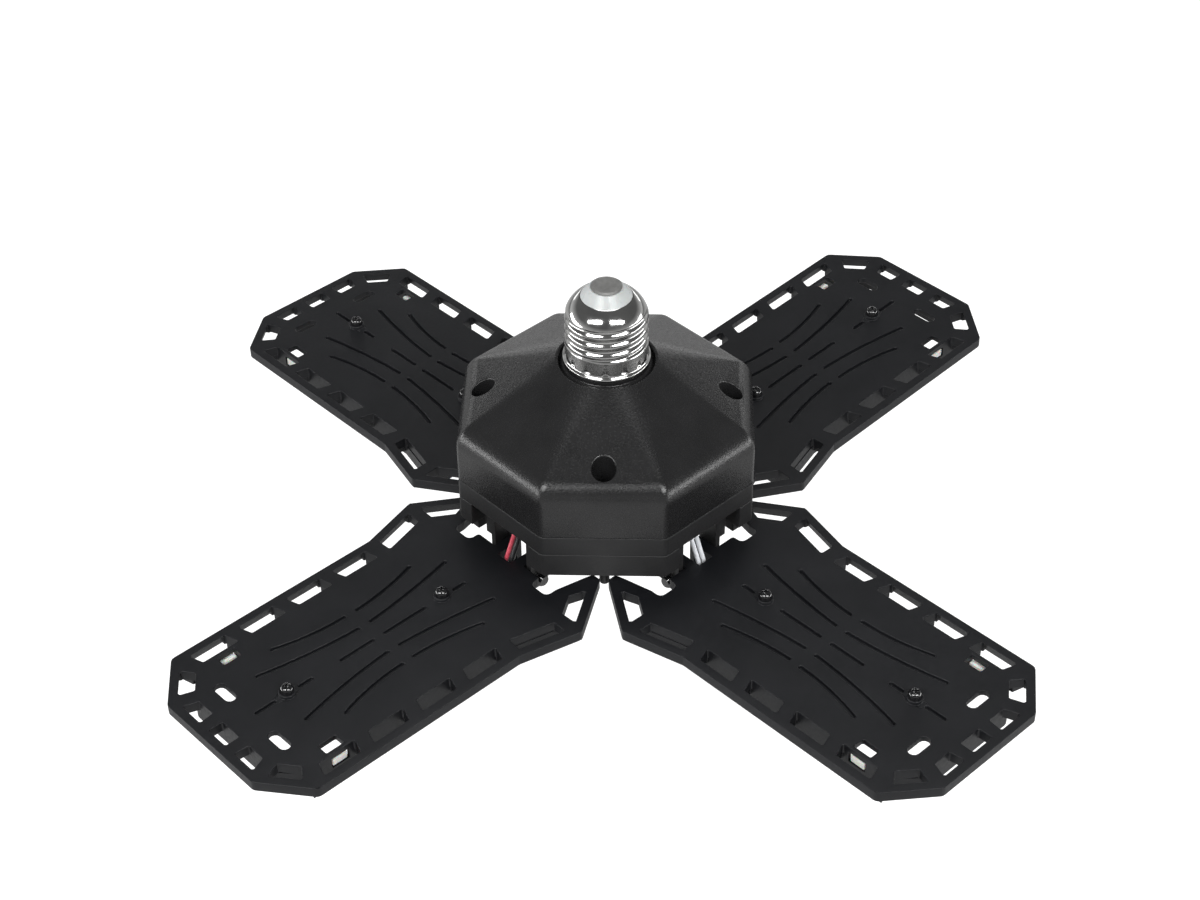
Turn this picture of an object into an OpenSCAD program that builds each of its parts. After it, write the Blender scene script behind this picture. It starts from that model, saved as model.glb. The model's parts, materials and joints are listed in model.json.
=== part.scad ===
// Deformable garage light: a screw-cap hub with four wings that fold on friction hinges.
// The origin is on the cap's axis, at the middle of the cap's smooth skirt. +Z is up,
// through the cap. A wing is drawn along +X from the cap's axis, with its top face at
// height 0, and is then lowered, tilted on its hinge and turned to its place.

/* [Screw cap] */
// Crest diameter of the cap's rolled thread
thread_d = 26.1; // [25.8:0.1:26.2]
// Rise of the thread in one turn
thread_pitch = 3.629; // [3.4:0.001:3.8]
// Depth of the thread
thread_depth = 0.9; // [0.5:0.1:1.1]
// Height of the thread, up to the foot of the dome
thread_h = 9.7; // [8:0.1:13]
// Height of the dome
dome_h = 6.8; // [5.5:0.1:8]
// Radius of the dome's bulging side
dome_side_r = 10.8; // [8:0.1:16]
// Diameter of the smooth skirt below the thread
skirt_d = 26.2; // [26.2:0.1:27]
// Height of the smooth skirt
skirt_h = 5; // [4:0.1:7]
// Diameter of the bead at the skirt's foot
bead_d = 27.6; // [27.2:0.1:28]
// Height of the bead
bead_h = 1.9; // [1.4:0.1:2.6]
// Wall of the cap shell, at its thinnest
shell_t = 0.5; // [0.3:0.1:0.8]
// Diameter of the pale insulator where it leaves the shell
insulator_d = 16.2; // [15:0.2:18]
// Height of the insulator above the shell
insulator_h = 3.1; // [2:0.1:5]
// Diameter of the centre contact
contact_d = 9.8; // [8:0.1:11]
// Number of punch marks that hold the shell on the neck
crimps = 14; // [8:1:16]

/* [Hub] */
// Width of the octagonal hub across its flats
hub_w = 93; // [92:0.5:96]
// Rounding of the hub's upright corners
hub_corner_r = 3; // [2:0.5:5]
// Gap between the cap's bead and the top of the collar
collar_gap = 0.8; // [0.4:0.1:2]
// Height of the cover's upright wall
cover_wall_h = 12.5; // [10:0.5:20]
// Rise from the top of that wall to the collar
cover_rise = 21.4; // [19:0.2:26]
// Rounding of the cover's shoulder
shoulder_r = 9; // [6:0.5:11]
// Thickness of the cover's wall
cover_t = 2.2; // [1.8:0.1:2.6]
// Diameter of the collar round the cap
collar_d = 32.5; // [31.5:0.5:36]
// Diameter of the sunk ring between the collar and the neck
recess_d = 30.4; // [29:0.2:31]
// Depth of that sunk ring
recess_h = 1.8; // [1:0.1:3]
// Distance from the hub's axis to each cover screw
cover_screw_ring = 39; // [38:0.5:39.5]
// Diameter of the wells of the cover screws
well_d = 7.4; // [6.6:0.1:8]
// Height of the band below the cover
band_h = 7; // [6:0.5:10]
// Height of the hinge pockets below the band
pocket_h = 8.4; // [7:0.2:12]
// Width of the hinge pockets
pocket_w = 26.8; // [26:0.2:28]
// Distance from the hub's axis to the back of the pockets
pocket_back = 36; // [35:0.2:36.4]
// Thickness of the base's outer wall
base_t = 2.8; // [2.7:0.1:3.4]
// Thickness of the base's floors
floor_t = 2.2; // [1.6:0.1:2.6]
// Drop from the base's underside to the wings' top faces
wing_drop = 6.4; // [5:0.2:9]
// Distance from the hub's axis to the foot stubs
stub_ring = 38.5; // [38:0.1:39]
// Diameter of the foot stubs
stub_d = 3.2; // [2.4:0.1:3.4]
// Length of the foot stubs below the base
stub_h = 9.5; // [4:0.5:10]
// Distance from the hub's axis to the screws of the hinge frame
frame_screw_ring = 28; // [26:0.5:29]

// Height of the blocks below the base, beside the hinge pockets
block_h = 4; // [2:0.1:4.2]

/* [Driver] */
// Height of the driver board above the base's floor
board_lift = 4; // [3.6:0.1:6]
// Thickness of the driver board
board_t = 1.6; // [1:0.1:2]
// Width of the driver board across its flats
board_w = 62; // [58:1:66]
// Distance from the hub's axis to the board's screws
board_screw_ring = 24; // [22:0.5:25]
// Diameter of the bulk capacitor
bulk_d = 16; // [12:0.5:18]
// Height of the bulk capacitor
bulk_h = 20; // [14:1:22]

/* [Hinges] */
// Distance from the hub's axis to each hinge axis
hinge_u = 38.6; // [38.4:0.1:38.8]
// Depth of the hinge axes below the wings' top faces
hinge_drop = 6.5; // [6.4:0.1:6.8]
// Diameter of the hinge screws
hinge_d = 2.5; // [2:0.1:3]
// Clearance all round a hinge screw in its bores
bore_gap = 0.05; // [0.02:0.01:0.1]
// Width of the hub's ears, measured outward
ear_w = 7.4; // [6.4:0.1:7.6]
// Thickness of each ear
ear_t = 4.2; // [3:0.1:4.4]
// Side clearance between an ear and a wing's knuckle
ear_gap = 0.3; // [0.2:0.05:0.4]
// Radius of the knuckles round the hinge axis
knuckle_r = 3.4; // [3:0.1:3.6]
// Thickness of each knuckle
knuckle_t = 4.1; // [3.4:0.1:4.3]
// Gap between a wing's two knuckles, for the leads
lead_gap = 5.8; // [5:0.2:6.2]
// Thickness of the hinge washers
washer_t = 0.5; // [0.3:0.1:0.8]

/* [Wings] */
// Distance from the hub's axis to a wing's tip
tip_u = 159.5; // [152:0.5:170]
// Width of a wing
wing_w = 72; // [70:0.5:73]
// Width across the flare near the hub
flare_w = 82.6; // [80:0.2:82.8]
// Distance from the hub's axis to the flare's widest point
flare_u = 50; // [49.5:0.5:51]
// Distance from the hub's axis to the end of the flare
notch_u = 71; // [69:0.5:73]
// Length of the tip's slanted corners, along the wing
tip_cut_u = 12; // [10:0.5:14]
// Width of the tip's straight edge
tip_w = 41.6; // [39:0.2:46]
// Distance from the hub's axis to the plate's edge between the cut-outs
hub_edge_u = 43.2; // [43.1:0.1:43.6]
// Distance from the hub's axis to the ends of the two arms
arm_u = 30; // [29.8:0.1:31]
// Distance from the wing's centre line to the outer corner of an arm's end
arm_v = 28.1; // [27.8:0.1:28.4]
// Width of an arm's end
arm_w = 3.1; // [2.4:0.1:3.6]
// Thickness of the plate at its rim
rim_t = 3.6; // [3:0.1:3.8]
// Thickness of the plate over the light source
plate_t = 2; // [1.6:0.1:2.2]
// Width of the rim outside the windows
rim_w = 3; // [2.6:0.1:3.4]
// Width of the windows
window_w = 4.8; // [4:0.1:5.2]
// How far the windows' outer sides lean outward below the top face
window_draft = 1.2; // [0.4:0.1:1.4]
// Width of the bars between the side windows
window_bar = 5.1; // [4:0.1:7]
// Number of windows along each side
side_windows = 4; // [3:1:5]
// Depth of the wall inside the windows, below the top face
wall_h = 8.4; // [7.6:0.1:9]
// Thickness of that wall
wall_t = 1.2; // [0.9:0.1:1.5]
// Width of the cooling grooves
groove_w = 1.4; // [1:0.1:1.8]
// Depth of the cooling grooves
groove_h = 1.2; // [0.6:0.1:1.3]
// Diameter of the studs' bosses
stud_d = 5.2; // [4.6:0.1:6]
// Distance from the hub's axis to the inner stud
inner_stud_u = 71; // [69:0.5:73]
// Distance from the hub's axis to the outer stud
outer_stud_u = 131; // [129:0.5:132]

/* [Rest pose] */
// Upward tilt of the front left wing, in degrees
tilt_front_left = 0; // [-4:0.5:4]
// Upward tilt of the front right wing
tilt_front_right = 1; // [-4:0.5:4]
// Upward tilt of the back right wing
tilt_back_right = 3.5; // [-4:0.5:4]
// Upward tilt of the back left wing
tilt_back_left = -1; // [-4:0.5:4]

/* [Light sources] */
// Thickness of the LED boards
led_board_t = 1.5; // [1:0.1:1.8]
// Distance between LEDs along a wing
led_pitch = 8; // [6:0.5:12]
// Depth of the lens cover below the LED board
lens_h = 6.6; // [6:0.2:7]
// Wall of the lens cover
lens_t = 1.5; // [1:0.1:2]
// Diameter of the leads
lead_d = 1.5; // [1.2:0.1:1.7]

/* [Hidden] */
WINGS = ["front_left", "front_right", "back_right", "back_left"];
WING_ANGLES = [225, 315, 45, 135];
WING_TILTS = [tilt_front_left, tilt_front_right, tilt_back_right, tilt_back_left];
HUB_NODES = [
    "cap_shell", "cap_insulator", "cap_contact", "cap_live_lead", "cap_neutral_lead",
    "top_cover", "cover_screws", "base_housing", "hinge_frame", "frame_screws",
    "hinge_washers", "driver_board", "board_screws", "bulk_capacitor", "film_capacitor",
    "choke", "rectifier", "switch_chip", "fuse_resistor"
];
WING_NODES = ["wing_plate", "led_board", "leds", "lens", "lens_screws", "hinge_screws",
    "wing_leads", "hub_leads"];

$fn = 64;
CUT = 1;          // how far a cut runs past the face that it opens
FIT = 0.05;       // clearance between pieces that are fastened together
SEAT = 0.3;       // clearance between pieces that only lie near each other

// Heights
skirt_top = skirt_h / 2;
dome_foot = skirt_top + thread_h;
dome_top = dome_foot + dome_h;
bead_bottom = -skirt_h / 2 - bead_h;
collar_top = bead_bottom - collar_gap;
recess_floor = collar_top - recess_h;
wall_top = collar_top - cover_rise;
seam_z = wall_top - cover_wall_h;
band_bottom = seam_z - band_h;
base_bottom = band_bottom - pocket_h;
wing_z = base_bottom - wing_drop;
hinge_z = wing_z - hinge_drop;
floor_top = band_bottom + floor_t;
board_z = floor_top + board_lift;
board_top = board_z + board_t;

// Cap
crest_r = thread_d / 2;
bore_r = crest_r - thread_depth - shell_t;
insulator_r = insulator_d / 2;
neck_r = bore_r - FIT;
neck_bore_r = neck_r - 1.6;
neck_top = skirt_top - 1;

// Hub
hub_a = hub_w / 2;
collar_r = collar_d / 2;
well_r = well_d / 2;
post_r = well_r + 1.8;
well_floor = seam_z + 5;
slope_run = hub_a - shoulder_r - collar_r;
slope_turn = atan2(cover_rise, -slope_run) - acos(shoulder_r / norm([slope_run, cover_rise]));
slope_a = 90 - slope_turn;
screw_r = 1.5;
small_screw_r = 1.1;

// Hinges
knuckle_in = lead_gap / 2;
knuckle_out = knuckle_in + knuckle_t;
ear_in = knuckle_out + ear_gap;
ear_out = ear_in + ear_t;
hinge_bore_r = hinge_d / 2 + bore_gap;
hinge_head_r = hinge_d / 2 + 0.95;
hinge_head_h = 1.8;
ear_end_t = 2;
head_seat = ear_in + ear_end_t;

// Wing outline, from the hub to the tip on the side of positive y
band_w = rim_w + window_w;
half_w = wing_w / 2;
flare_p = [flare_u, flare_w / 2];
notch_p = [notch_u, half_w];
corner_p = [tip_u - tip_cut_u, half_w];
tip_p = [tip_u, tip_w / 2];
arm_p = [arm_u, arm_v];
cutout_in = 14.5;
cutout_out = 22;
cutout_u = hub_edge_u + 4;
lead_notch_u = hub_edge_u + 2;
flare_slope = (flare_p[1] - notch_p[1]) / (notch_u - flare_u);
tray_u = flare_u - 0.5;
tray_side = half_w - band_w;
window_u = notch_u + 2.6;
window_end = corner_p[0] - 6.3;
window_l = (window_end - window_u - (side_windows - 1) * window_bar) / side_windows;
window_skew = 1.6;
core_l = 6.3;
core_w = 4;
core_u = outer_stud_u;
slot_u = tip_u - 15.5;
slot_v = 13.3;
fin_h = 6;

// Light source
board_under = -plate_t - led_board_t;
lens_bottom = board_under - lens_h;
lens_u = tray_u + wall_t + SEAT;
lens_v = tray_side - wall_t - SEAT;
lens_end_u = core_u + 5;
lens_cut = lens_v - 7.5;
stud_top = 1.2;
lead_v = 1.05;

// Routes of the leads: distance from the hub's axis, and height from the base's floor in
// the hub or from the plate's top face in a wing
HUB_ROUTE = [[28, 6.15], [28, 5], [30, 4], [34, 3.7], [36.4, 2.4], [37.3, -0.5],
    [38.1, -4.5], [39.9, -9.3], [41.4, -12.6], [42.7, -15.4]];
WING_ROUTE = [[43.3, -1.9], [43.7, -3.4], [44.6, -4.6], [46.6, -5.2], [49.5, -5.3],
    [52, -5.3], [53.8, -4.9], [54.4, -4.2], [54.4, -3.5]];

// ---------------------------------------------------------------- functions
function unit(v) = v / norm(v);
function turned(v) = [v[1], -v[0]];

// A closed outline with its corners rounded; each point is [x, y, radius].
function rounded(p, steps = 4) = [
    for (i = [0:len(p) - 1])
        let (
            c = [p[i][0], p[i][1]],
            before = p[(i + len(p) - 1) % len(p)],
            after = p[(i + 1) % len(p)],
            to_a = unit([before[0], before[1]] - c),
            to_b = unit([after[0], after[1]] - c),
            half = acos(to_a * to_b) / 2,
            r = p[i][2]
        )
        each r == 0 ? [c] :
            let (
                o = c + unit(to_a + to_b) * r / sin(half),
                from_a = c + to_a * r / tan(half) - o,
                from_b = c + to_b * r / tan(half) - o,
                start = atan2(from_a[1], from_a[0]),
                turn = atan2(from_b[1], from_b[0]) - start,
                sweep = turn > 180 ? turn - 360 : turn < -180 ? turn + 360 : turn
            )
            [for (k = [0:steps]) o + r * [cos(start + sweep * k / steps), sin(start + sweep * k / steps)]]
];

// A clockwise outline moved inward by d.
function inset(p, d) = [
    for (i = [0:len(p) - 1])
        let (
            c = [p[i][0], p[i][1]],
            before = p[(i + len(p) - 1) % len(p)],
            after = p[(i + 1) % len(p)],
            n1 = turned(unit(c - [before[0], before[1]])),
            n2 = turned(unit([after[0], after[1]] - c)),
            q = c + d * (n1 + n2) / (1 + n1 * n2)
        )
        [q[0], q[1], p[i][2]]
];

// Half an outline, closed by its mirror image across the x axis.
function mirrored(p) = concat(p, [for (i = [len(p) - 1:-1:0]) [p[i][0], -p[i][1], p[i][2]]]);

function octagon(a, r) = rounded(
    [for (i = [0:7]) [a / cos(22.5) * cos(22.5 + 45 * i), a / cos(22.5) * sin(22.5 + 45 * i), r]]
);

// Points on the circle arc through p, q and s.
function arc_through(p, q, s, steps = 8) =
    let (
        d = 2 * (p[0] * (q[1] - s[1]) + q[0] * (s[1] - p[1]) + s[0] * (p[1] - q[1])),
        x = (p * p * (q[1] - s[1]) + q * q * (s[1] - p[1]) + s * s * (p[1] - q[1])) / d,
        y = (p * p * (s[0] - q[0]) + q * q * (p[0] - s[0]) + s * s * (q[0] - p[0])) / d,
        r = norm(p - [x, y]),
        start = atan2(p[1] - y, p[0] - x),
        turn = atan2(s[1] - y, s[0] - x) - start,
        sweep = turn > 180 ? turn - 360 : turn < -180 ? turn + 360 : turn
    )
    [for (k = [0:steps]) [x, y] + r * [cos(start + sweep * k / steps), sin(start + sweep * k / steps)]];

// Outline of a line drawn with a round pen of width w.
function stroke(p, w, caps = 6) =
    let (
        n = len(p) - 1,
        side = [for (i = [0:n]) turned(unit(p[min(i + 1, n)] - p[max(i - 1, 0)])) * w / 2],
        last = atan2(side[n][1], side[n][0]),
        first = atan2(side[0][1], side[0][0])
    )
    concat(
        [for (i = [0:n]) p[i] + side[i]],
        [for (k = [1:caps - 1]) p[n] + w / 2 * [cos(last + 180 * k / caps), sin(last + 180 * k / caps)]],
        [for (i = [n:-1:0]) p[i] - side[i]],
        [for (k = [1:caps - 1]) p[0] - w / 2 * [cos(first + 180 * k / caps), sin(first + 180 * k / caps)]]
    );

// Distance of the dome's side from the axis at height z.
function dome_r(z) =
    let (
        foot = [crest_r, dome_foot],
        top = [insulator_r, dome_top],
        chord = top - foot,
        centre = (foot + top) / 2
            - turned(unit(chord)) * sqrt(dome_side_r * dome_side_r - chord * chord / 4)
    )
    z <= dome_foot ? crest_r
        : centre[0] + sqrt(dome_side_r * dome_side_r - (z - centre[1]) * (z - centre[1]));

// Radius of the rolled shell: the thread fades out at the skirt and into the dome.
function shell_r(z, a) =
    let (
        fade = max(0, min(1, (z - skirt_top) / 1.2, (dome_foot + 3 - z) / 1.5)),
        wave = 0.5 - 0.5 * cos(360 * (z - skirt_top) / thread_pitch - a + 90)
    )
    min(dome_r(z), crest_r - thread_depth * wave * fade);

// ---------------------------------------------------------------- helpers
module prism(outline, z0, z1) {
    translate([0, 0, z0]) linear_extrude(z1 - z0) polygon(outline);
}

module at(u, v, z = 0) {
    translate([u, v, z]) children();
}

module both_sides() {
    children();
    mirror([0, 1, 0]) children();
}

// Places that repeat round the hub: four flats, or four diagonals.
module round_hub(radius, first) {
    for (a = [first:90:359]) rotate(a) translate([radius, 0, 0]) children();
}

// Turns a wing's own frame into its place at the hub, at rest.
module at_wing(i) {
    rotate(WING_ANGLES[i]) translate([hinge_u, 0, hinge_z]) rotate([0, -WING_TILTS[i], 0])
        translate([-hinge_u, 0, hinge_drop]) children();
}

// A slab along y from y0 to y1, with its outline drawn in x and z.
module slab(outline, y0, y1) {
    translate([0, y1, 0]) rotate([90, 0, 0]) linear_extrude(y1 - y0) polygon(outline);
}

module screw(head_r, head_h, shank_r, shank_l) {
    rotate_extrude() polygon([[0, -shank_l], [shank_r, -shank_l], [shank_r, 0], [head_r, 0],
        [head_r, head_h * 0.6], [head_r * 0.75, head_h], [0, head_h]]);
}

// A closed skin over rings of points that all run anticlockwise, seen from the last ring.
module skin(rings) {
    n = len(rings) - 1;
    m = len(rings[0]);
    polyhedron([for (ring = rings) each ring], concat(
        [[for (k = [0:m - 1]) k]],
        [for (i = [0:n - 1]) for (k = [0:m - 1]) each
            let (a = i * m + k, b = i * m + (k + 1) % m) [[a, a + m, b], [b, a + m, b + m]]],
        [[for (k = [m - 1:-1:0]) n * m + k]]
    ));
}

// A tube of eight sides along a route.
module tube(p, d) {
    n = len(p) - 1;
    dirs = [for (i = [0:n]) unit(p[min(i + 1, n)] - p[max(i - 1, 0)])];
    skin([for (i = [0:n])
        let (across = unit(cross(dirs[i], [0.03, 1, 0.02])), over = cross(dirs[i], across))
        [for (k = [0:7]) p[i] + d / 2 * (across * cos(45 * k) + over * sin(45 * k))]]);
}

// ---------------------------------------------------------------- cap
// The rolled shell's outside, from inside the skirt to the dome's top.
module rolled_form() {
    around = 40;
    heights = concat(
        [skirt_top - 0.8],
        [for (k = [0:27]) skirt_top + 0.1 + (dome_foot + 1.9 - skirt_top) * k / 27],
        [for (k = [1:6]) dome_foot + 2 + (dome_h - 2) * k / 6]
    );
    skin([for (z = heights) [for (k = [0:around - 1])
        let (a = 360 * k / around, r = z < skirt_top ? crest_r - 0.2 : shell_r(z, a))
        [r * cos(a), r * sin(a), z]]]);
}

module cap_shell() {
    mark_w = 2;
    mark_h = 2.4;
    color("silver") difference() {
        union() {
            rolled_form();
            rotate_extrude() polygon([[0, bead_bottom], [bead_d / 2 - 0.4, bead_bottom],
                [bead_d / 2, bead_bottom + 0.4], [bead_d / 2, bead_bottom + bead_h - 0.9],
                [bead_d / 2 - 0.4, bead_bottom + bead_h - 0.6],
                [skirt_d / 2, bead_bottom + bead_h], [skirt_d / 2, skirt_top], [0, skirt_top]]);
        }
        translate([0, 0, bead_bottom - CUT]) cylinder(h = dome_foot - bead_bottom + CUT, r = bore_r);
        translate([0, 0, dome_foot - 0.01])
            cylinder(h = dome_h - shell_t, r1 = bore_r, r2 = insulator_r - shell_t);
        translate([0, 0, dome_foot]) cylinder(h = dome_h + CUT, r = insulator_r - shell_t);
        for (i = [0:crimps - 1])
            rotate(360 * i / crimps - 90) translate([skirt_d / 2 - 0.25, 0, bead_bottom + bead_h])
                rotate([90, 0, 90]) linear_extrude(2)
                    polygon([[-mark_w / 2, -0.3], [mark_w / 2, -0.3], [0.2, mark_h], [-0.2, mark_h]]);
    }
}

module cap_insulator() {
    plug_r = insulator_r - shell_t - FIT;
    stem_r = 1.5;
    foot = dome_foot + 1;
    color("ghostwhite") rotate_extrude() polygon([[stem_r, foot], [bore_r - 3, foot],
        [plug_r, foot + 1], [plug_r, dome_top], [insulator_r - 0.1, dome_top],
        [contact_d / 2 + 0.4, dome_top + insulator_h], [stem_r, dome_top + insulator_h]]);
}

module cap_contact() {
    under = dome_top + insulator_h;
    stem_r = 1.5 - FIT;
    color("lightgray") rotate_extrude() polygon([[0, dome_foot + 0.4], [stem_r, dome_foot + 0.4],
        [stem_r, under], [contact_d / 2, under], [contact_d / 2, under + 0.35],
        [contact_d / 2 - 0.8, under + 0.6], [0, under + 0.6]]);
}

// The two leads stand on the driver board and run up to their places in the cap.
module cap_live_lead() {
    color("firebrick") tube([[0, 0, board_top], [0, 0, board_top + 4], [1, 0, -30], [1.2, 0, -22],
        [1, 0, -12], [0.6, 0, -4], [0.2, 0, 4], [0, 0, 9], [0, 0, dome_foot + 0.4]], lead_d);
}

module cap_neutral_lead() {
    wall = bore_r - lead_d / 2 - FIT;
    color("whitesmoke") tube([[6, 0, board_top], [6, 0, board_top + 4], [6.5, 0, -30], [7.5, 0, -22],
        [8.2, 0, -12], [8.4, 0, -4], [8.6, 0, 1], [wall, 0, 5], [wall, 0, 8]], lead_d);
}

// ---------------------------------------------------------------- hub
// The cover's form, moved inward by d, from its open bottom to height top_z. Its shoulder is
// an arc that meets the slope smoothly. The slope rises to the collar, where its corners
// have grown so round that the form ends in a circle.
module cover_form(d, bottom, top_z) {
    corner = hub_corner_r - d / 2;
    steps = 6;
    r = shoulder_r - d;
    shoulder_x = hub_a - shoulder_r + r * cos(slope_turn);
    shoulder_z = wall_top + r * sin(slope_turn);
    top_x = shoulder_x - (top_z - shoulder_z) / tan(slope_a);
    profile = concat(
        [[hub_a - d, bottom]],
        [for (t = [0:steps]) [hub_a - shoulder_r + r * cos(slope_turn * t / steps),
            wall_top + r * sin(slope_turn * t / steps)]],
        [[top_x, top_z]]
    );
    skin([for (q = profile) [
        for (c = octagon(q[0], q[1] < top_z ? corner : q[0] - 0.3)) [c[0], c[1], q[1]]
    ]]);
}

module top_cover() {
    roof = recess_floor - cover_t;
    seat_r = bead_d / 2 - 0.5;
    color([0.1, 0.1, 0.11]) difference() {
        union() {
            difference() {
                cover_form(0, seam_z, collar_top);
                difference() {
                    cover_form(cover_t, seam_z - CUT, roof);
                    round_hub(cover_screw_ring, 0) translate([0, 0, seam_z])
                        cylinder(h = cover_wall_h + cover_rise, r = post_r);
                }
                translate([0, 0, recess_floor]) cylinder(h = recess_h + CUT, r = recess_d / 2);
            }
            translate([0, 0, roof + 0.2]) cylinder(h = bead_bottom - roof - 0.2, r = seat_r);
            translate([0, 0, roof + 0.3]) cylinder(h = recess_floor + 0.9 - roof - 0.3, r = seat_r + 1);
            translate([0, 0, roof + 0.4]) cylinder(h = neck_top - roof - 0.4, r = neck_r);
        }
        translate([0, 0, roof - CUT]) cylinder(h = neck_top - roof + 2 * CUT, r = neck_bore_r);
        round_hub(cover_screw_ring, 0) {
            translate([0, 0, well_floor]) cylinder(h = cover_wall_h + cover_rise, r = well_r);
            translate([0, 0, seam_z - CUT]) cylinder(h = well_floor - seam_z + 2 * CUT, r = screw_r + FIT);
        }
    }
}

module cover_screws() {
    color("dimgray") round_hub(cover_screw_ring, 0)
        translate([0, 0, well_floor]) screw(2.9, 2.2, screw_r, 10);
}

module base_housing() {
    tongue_a = hub_a - cover_t - 0.15;
    tongue_t = 1.2;
    tongue_h = 1.6;
    hole_u = 36.8;
    color([0.11, 0.11, 0.12]) difference() {
        union() {
            difference() {
                prism(octagon(hub_a, hub_corner_r), band_bottom, seam_z);
                prism(octagon(hub_a - base_t, hub_corner_r - 1), floor_top, seam_z + CUT);
            }
            difference() {
                prism(octagon(tongue_a, 2), seam_z - 3, seam_z + tongue_h);
                prism(octagon(tongue_a - tongue_t, 1.5), seam_z - 4, seam_z + tongue_h + CUT);
                round_hub(cover_screw_ring, 0)
                    translate([0, 0, seam_z]) cylinder(h = tongue_h + CUT, r = post_r + SEAT);
            }
            round_hub(cover_screw_ring, 0)
                translate([0, 0, band_bottom + 0.5]) cylinder(h = band_h - 0.5, r = screw_r + 2.6);
            round_hub(frame_screw_ring, 0)
                translate([0, 0, band_bottom + 0.5]) cylinder(h = floor_t + 2.8, r = screw_r + 1.7);
            round_hub(board_screw_ring, 45)
                translate([0, 0, band_bottom + 0.5])
                    cylinder(h = board_z - band_bottom - 0.5, r = small_screw_r + 1.5);
        }
        round_hub(cover_screw_ring, 0)
            translate([0, 0, well_floor - 10.5]) cylinder(h = 12, r = screw_r + FIT);
        round_hub(frame_screw_ring, 0)
            translate([0, 0, band_bottom - CUT]) cylinder(h = 5.4 + CUT, r = screw_r + FIT);
        round_hub(board_screw_ring, 45)
            translate([0, 0, board_z - 5]) cylinder(h = 6, r = small_screw_r + FIT);
        round_hub(hole_u, 45)
            translate([-2.4, -2.4, band_bottom - CUT]) cube([4.8, 4.8, floor_t + 2 * CUT]);
    }
}

// An ear hangs from the pocket's ceiling, grows thinner level with the wing, and ends in a
// half circle round the hinge axis.
module ears() {
    r = ear_w / 2;
    step_z = base_bottom - block_h;
    outline = concat(
        [[hinge_u + r, band_bottom], [hinge_u - r, band_bottom]],
        [for (k = [0:12]) [hinge_u - r * cos(15 * k), hinge_z - r * sin(15 * k)]]
    );
    both_sides() {
        slab(outline, ear_in, head_seat);
        translate([hinge_u - r, ear_in, step_z]) cube([ear_w, ear_t, band_bottom - step_z]);
    }
}

module hinge_frame() {
    half_pocket = pocket_w / 2;
    wall = 2;
    block_u = 37;
    block_l = 6.3;
    block_off = 0.7;
    block_w = 3.6;
    color([0.1, 0.1, 0.11]) difference() {
        union() {
            difference() {
                prism(octagon(hub_a, hub_corner_r), base_bottom, band_bottom);
                difference() {
                    prism(octagon(hub_a - base_t, hub_corner_r - 1),
                        base_bottom + floor_t, band_bottom + CUT);
                    for (a = WING_ANGLES) rotate(a)
                        translate([pocket_back - wall, -half_pocket - wall, base_bottom])
                            cube([hub_a, pocket_w + 2 * wall, 2 * pocket_h]);
                }
                for (a = WING_ANGLES) rotate(a)
                    translate([pocket_back, -half_pocket, base_bottom - CUT])
                        cube([hub_a, pocket_w, pocket_h + 2 * CUT]);
            }
            for (a = WING_ANGLES) rotate(a) ears();
            round_hub(stub_ring, 0)
                translate([0, 0, base_bottom - stub_h]) cylinder(h = stub_h + 1, r = stub_d / 2);
            for (a = WING_ANGLES) rotate(a) both_sides()
                translate([block_u, half_pocket + block_off, base_bottom - block_h])
                    cube([block_l, block_w, block_h + 1]);
            round_hub(frame_screw_ring, 0)
                translate([0, 0, base_bottom + 0.5]) cylinder(h = pocket_h - 0.5, r = screw_r + 2.6);
        }
        for (a = WING_ANGLES) rotate(a)
            translate([hinge_u, 0, hinge_z]) rotate([90, 0, 0])
                cylinder(h = 4 * ear_out, r = hinge_bore_r, center = true);
        round_hub(frame_screw_ring, 0) {
            translate([0, 0, base_bottom - CUT]) cylinder(h = 2 + CUT, r = 3);
            translate([0, 0, base_bottom]) cylinder(h = pocket_h + CUT, r = screw_r + FIT);
        }
    }
}

module frame_screws() {
    color("gray") round_hub(frame_screw_ring, 0)
        translate([0, 0, base_bottom + 2]) rotate([180, 0, 0]) screw(2.7, 1.8, screw_r, pocket_h + 2);
}

module hinge_washers() {
    color("lightgray") for (a = WING_ANGLES) rotate(a) both_sides()
        translate([hinge_u, head_seat + washer_t, hinge_z]) rotate([90, 0, 0]) difference() {
            cylinder(h = washer_t, r = hinge_head_r + 0.2);
            translate([0, 0, -CUT]) cylinder(h = washer_t + 2 * CUT, r = hinge_bore_r);
        }
}

// ---------------------------------------------------------------- driver
module driver_board() {
    color("darkgreen") difference() {
        prism(octagon(board_w / 2, 2), board_z, board_top);
        round_hub(board_screw_ring, 45)
            translate([0, 0, board_z - CUT]) cylinder(h = board_t + 2 * CUT, r = small_screw_r + FIT);
    }
}

module board_screws() {
    color("silver") round_hub(board_screw_ring, 45)
        translate([0, 0, board_top]) screw(2.1, 1.4, small_screw_r, board_t + 4);
}

module bulk_capacitor() {
    color("midnightblue") translate([-15, 0, board_top]) difference() {
        cylinder(h = bulk_h, r = bulk_d / 2);
        translate([0, 0, bulk_h - 0.5]) cylinder(h = CUT, r = bulk_d / 2 - 1.2);
    }
}

module film_capacitor() {
    color("goldenrod") translate([12, 8, board_top]) cube([13, 6, 11]);
}

// A drum core on end, with a winding between its two flanges.
module choke() {
    color("saddlebrown") translate([1, -16, board_top]) rotate_extrude()
        polygon([[0, 0], [6, 0], [6, 1.5], [5.3, 1.5], [5.3, 9.5], [6, 9.5], [6, 11], [0, 11]]);
}

module rectifier() {
    color([0.15, 0.15, 0.16]) translate([15, -8, board_top]) union() {
        translate([0, 0, 0.5]) cube([6.4, 4.7, 2.4]);
        for (x = [0.6, 4.8]) for (y = [-0.9, 4.6]) translate([x, y, 0]) cube([1, 1, 1.2]);
    }
}

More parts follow.
